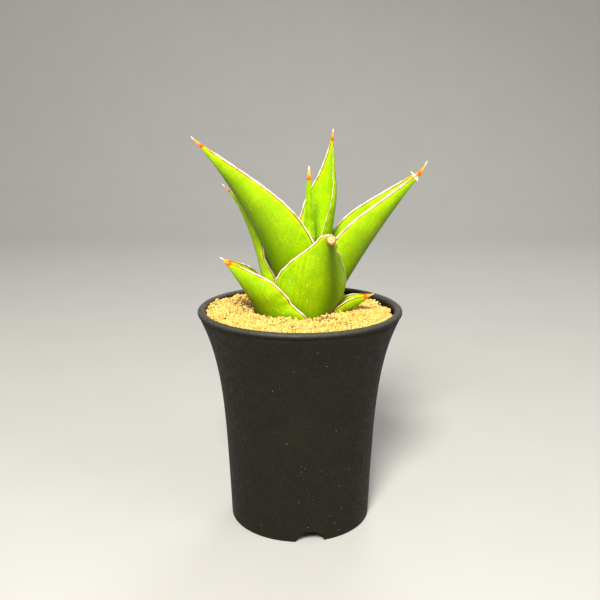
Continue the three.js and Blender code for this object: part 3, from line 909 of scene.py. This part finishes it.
def grain_shapes(count, level, rng):
    """Unit lumps: distorted balls of 20 or 80 faces."""
    bm = bmesh.new()
    bmesh.ops.create_icosphere(bm, subdivisions=level, radius=1)
    ball = np.array([v.co for v in bm.verts])
    faces = np.array([[v.index for v in f.verts] for f in bm.faces])
    bm.free()
    shapes = []
    for _ in range(count):
        lump = ball.copy()
        for _ in range(5):
            direction = unit(rng.normal(size=3))
            lump *= 1 + rng.uniform(-0.2, 0.16) * np.clip(ball @ direction, 0, 1)[:, None] ** 2
        lump *= rng.uniform(0.78, 1.12, 3)
        shapes.append(lump)
    return np.array(shapes), faces


# the granules' layers, in millimetres: how deep they lie and how far apart; the last lie loose on top
LAYERS = [(1.0, 1.75), (0.15, 1.62), (-0.55, 3.6)]
LONE_DARK = 0.994  # the share of granules that aren't dark outside the dark patches
ROW = 0.866  # the distance between staggered rows, in spacings
LEAF_REACH = 7 * MM  # how far off a leaf is looked for


def clear_of_leaves(centre, radius):
    """Whether a granule is outside every leaf and touches none by much."""
    for tree in leaf_trees:
        at, normal, _, distance = tree.find_nearest(centre, LEAF_REACH)
        if at is not None and (distance < 0.7 * radius or (centre - at).dot(normal) < 0):
            return False
    return True


def granules():
    """Layers of baked-clay granules, laid at random, clear of the leaves and of the pot."""
    rng = np.random.default_rng(41)
    placed = []
    for layer, (depth, spacing) in enumerate(LAYERS):
        steps = int(2 * INNER / MM / spacing) + 2
        for i in range(-steps, steps):
            for j in range(-steps, steps):
                x = (i + 0.5 * (j % 2) + rng.uniform(-0.34, 0.34)) * spacing * MM
                y = (j * ROW + rng.uniform(-0.34, 0.34)) * spacing * MM
                radius = rng.uniform(0.58, 1.02) * MM * (0.9 if layer == 2 else 1)
                jitter, tint, roll = rng.uniform(-0.32, 0.32), rng.uniform(), rng.uniform()
                if math.hypot(x, y) > INNER - 0.75 * radius:
                    continue
                x, y = x + POT_X, y + POT_Y
                z = surface_height(x, y) + heaped(x, y) - (depth + jitter) * MM
                if clear_of_leaves(Vector((x, y, z)), radius):
                    placed.append((x, y, z, radius, layer, tint, roll))
    return placed, rng


def brown_and_shade_share(x, y):
    """The share of dark granules there: brown granules behind the low left leaf, and painted shade
    along the leaves' front.
    """
    return max(
        spot(x, y, (-26, 13), (7.5, 11)),
        0.6 * spot(x, y, (12, -13.5), (7, 3.5)),
        0.3 * spot(x, y, (-12, -13), (12, 2.5)),
    )


def lay_granules():
    """Adds the granules in batches: the deep ones with few faces, the top ones finer."""
    placed, rng = granules()
    number = 0
    for fine, level, limit in ((False, 1, 8000), (True, 2, 2300)):
        grains = [grain for grain in placed if (grain[4] > 0) == fine]
        shapes, faces = grain_shapes(14, level, rng)
        for start in range(0, len(grains), limit):
            part = grains[start : start + limit]
            n = len(part)
            data = np.array([g[:4] for g in part])
            axis = unit(rng.normal(size=(n, 3)))[:, None, :]
            angle = rng.uniform(0, 2 * math.pi, n)[:, None, None]
            lump = shapes[rng.integers(0, len(shapes), n)]
            along = axis * (lump * axis).sum(-1, keepdims=True)
            lump = along + (lump - along) * np.cos(angle) + np.cross(axis, lump) * np.sin(angle)
            co = lump * data[:, 3, None, None] + data[:, None, :3]
            count = shapes.shape[1]
            all_faces = (faces[None] + (np.arange(n) * count)[:, None, None]).reshape(-1, 3)
            tints = [g[5] for g in part]
            # dark granules: brown ones at random and in patches, and painted shade along the leaves'
            # front
            dark = [float(g[6] < brown_and_shade_share(g[0], g[1]) or g[6] > LONE_DARK) for g in part]
            values = {"tint": np.repeat(tints, count), "brown_and_shade": np.repeat(dark, count)}
            number += 1
            name = f"granules_{number}"
            mesh = make_mesh(name, co.reshape(-1, 3), [all_faces], values)
            add_piece(name, mesh, CLAY, ["top_dressing"])


add_piece("granule_bed", bed(), BED, ["top_dressing"])
lay_granules()


# ---------------------------------------------------------------- healed tip and torn tip
def callus():
    """The healed cut on the front leaf: a ringed cork dome set slantwise on its end."""
    tip = surfaces["leaf_front"][1]
    normal = Vector((-0.06, -0.83, 0.56)).normalized()
    centre = Vector(tip) + Vector((0.45, 0.0, -2.7)) * MM + normal * 1.0 * MM
    side = normal.cross(Vector((0, 0, 1))).normalized()
    up = side.cross(normal).normalized()
    rings, segments, radius, dome, depth = 14, 48, 2.5 * MM, 0.75, 2.2
    co, out = [centre + normal * dome * MM], [0.0]
    for i in range(1, rings + 1):
        share = i / rings
        for j in range(segments):
            a = 2 * math.pi * j / segments
            wavy = 1 + 0.035 * math.sin(3 * a + 0.6) + 0.02 * math.sin(7 * a)
            groove = 0.09 * math.cos(share * 16 + 0.6 * math.sin(2 * a))
            height = dome * (1 - share**2.6) + groove - 0.5 * share**8
            spread = radius * wavy * (share if share < 0.9 else 0.9 + (share - 0.9) * 0.7)
            spoke = side * math.cos(a) * spread + up * math.sin(a) * spread
            co.append(centre + spoke + normal * height * MM)
            out.append(share)
    co.append(centre - normal * depth * MM)
    out.append(1.0)
    ring = 1 + np.arange(segments)
    first = fan(ring, 0)
    quads = grid_faces(rings, segments) + 1
    last = fan((rings - 1) * segments + ring, len(co) - 1)[:, [1, 0, 2]]
    co = np.array(co)
    faces = facing_out(co, [first, quads[:, ::-1], last])
    name = "leaf_front_callus"
    add_piece(name, make_mesh(name, co, faces, {"out": out}), CALLUS)


RAG_FROM_TIP = 9.2  # millimetres


def torn_tip():
    """A dry rag of skin where the spine of the tall right leaf starts."""
    grid, tip, values = surfaces["leaf_tall_right"]
    row = int(np.argmin(abs(values["tip_mm"][:, 0] - RAG_FROM_TIP)))
    face = ACROSS * HALF
    spots = [grid[row, 0], grid[row, face]]
    near, far = sorted(spots, key=lambda p: p[1])
    along = Vector(unit(tip - grid[row + 6, face // 2]))
    # where each flake starts, which way it points, its length, width and curl in millimetres
    flakes = [
        (near, (0.55, -0.6, 0.35), 2.6, 2.6, 0.5),
        (near, (0.35, -0.5, -0.9), 3.8, 2.6, -0.5),
        (far, (-0.9, 0.0, 0.85), 3.2, 0.8, 0.9),
    ]
    rng = np.random.default_rng(5)
    co, faces, start = [], [], 0
    for at, way, length, width, curl in flakes:
        way = Vector(way).normalized()
        wide = (along - way * along.dot(way)).normalized()
        thick = way.cross(wide) * 0.09 * MM
        rows = 9
        for i in range(rows):
            share = i / (rows - 1)
            centre = Vector(at) + way * (share * length - 0.8) * MM
            centre += way.cross(wide) * curl * share**2 * MM
            ragged = (1 - share**1.6) * width * (1 + 0.25 * rng.uniform(-1, 1)) + 0.08
            for side in (-1, 1):
                for face_side in (-1, 1):
                    co.append(centre + wide * side * ragged / 2 * MM + thick * face_side)
        i = np.arange(rows - 1)[:, None] * 4 + start
        around = [0, 1, 3, 2]
        for p, q in zip(around, around[1:] + around[:1]):
            faces.append(np.concatenate([i + p, i + q, i + 4 + q, i + 4 + p], 1))
        cap = np.array([around])
        faces += [start + cap[:, [0, 3, 2, 1]], start + (rows - 1) * 4 + cap]
        start += rows * 4
    co = np.array(co)
    kept = {"tip_mm": np.full(len(co), 40.0), "low": np.zeros(len(co))}
    name = "leaf_tall_right_dry_skin"
    mesh = make_mesh(name, co, facing_out(co, faces), kept)
    add_piece(name, mesh, MARGIN, smooth=False)


callus()
torn_tip()


# ---------------------------------------------------------------- stage and light
FLOOR_GAP = 0.05 * MM  # keeps the floor clear of the pot's foot


def smooth_backdrop():
    """A pale floor that curves up into a backdrop."""
    width, back, front, bend, height = 4.0, 1.6, -2.5, 0.7, 3.0
    line = [(front, 0.0), (back - bend, 0.0)]
    steps = 16
    for i in range(1, steps + 1):
        a = math.pi / 2 * i / steps
        line.append((back - bend + bend * math.sin(a), bend - bend * math.cos(a)))
    line.append((back, height))
    co = [(x, y, z + cad_low.z - FLOOR_GAP) for y, z in line for x in (-width, width)]
    i = np.arange(len(line) - 1) * 2
    mesh = make_mesh("floor", co, [np.stack([i, i + 1, i + 3, i + 2], -1)])
    n = Nodes("floor")
    tone = n.mix(n.noise(n.place(), 60, 2), (0.5, 0.495, 0.485), (0.53, 0.525, 0.515))
    n.set(Base_Color=tone, Roughness=0.9, Specular_IOR_Level=0.1)
    mesh.materials.append(n.material)
    mesh.polygons.foreach_set("use_smooth", np.ones(len(mesh.polygons), bool))
    floor = bpy.data.objects.new("floor", mesh)
    bpy.context.scene.collection.objects.link(floor)


def softbox(name, at, size, power, colour):
    """A round soft light of a size in metres and a power in watts, aimed at the pot's rim."""
    data = bpy.data.lights.new(name, "AREA")
    data.shape, data.size, data.energy, data.color = "DISK", size, power, colour
    lamp = bpy.data.objects.new(name, data)
    lamp.location = at
    aim = Vector((POT_X, POT_Y, RIM_TOP))
    lamp.rotation_euler = (aim - Vector(at)).to_track_quat("-Z", "Y").to_euler()
    bpy.context.scene.collection.objects.link(lamp)


smooth_backdrop()
softbox("key", (POT_X - 0.15, POT_Y - 0.85, 0.87), 0.35, 24, (1, 0.97, 0.88))
softbox("fill", (POT_X + 0.9, POT_Y - 0.6, 0.7), 0.8, 3.5, (1, 0.98, 0.93))
softbox("back", (POT_X + 0.2, POT_Y + 0.9, 1.1), 0.5, 5, (1, 1, 1))
world = bpy.data.worlds.new("studio")
world.use_nodes = True
background = world.node_tree.nodes["Background"]
background.inputs["Color"].default_value = (1, 0.98, 0.92, 1)
background.inputs["Strength"].default_value = 0.3
bpy.context.scene.world = world

# the CAD solids that stay get their materials
kept_nodes = {"potting_mix": MIX, "rhizome": STEM}
kept_nodes.update({f"root_{i}": STEM for i in range(1, 6)})
for name, material in kept_nodes.items():
    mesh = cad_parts[name].data
    mesh.materials.clear()
    mesh.materials.append(material)
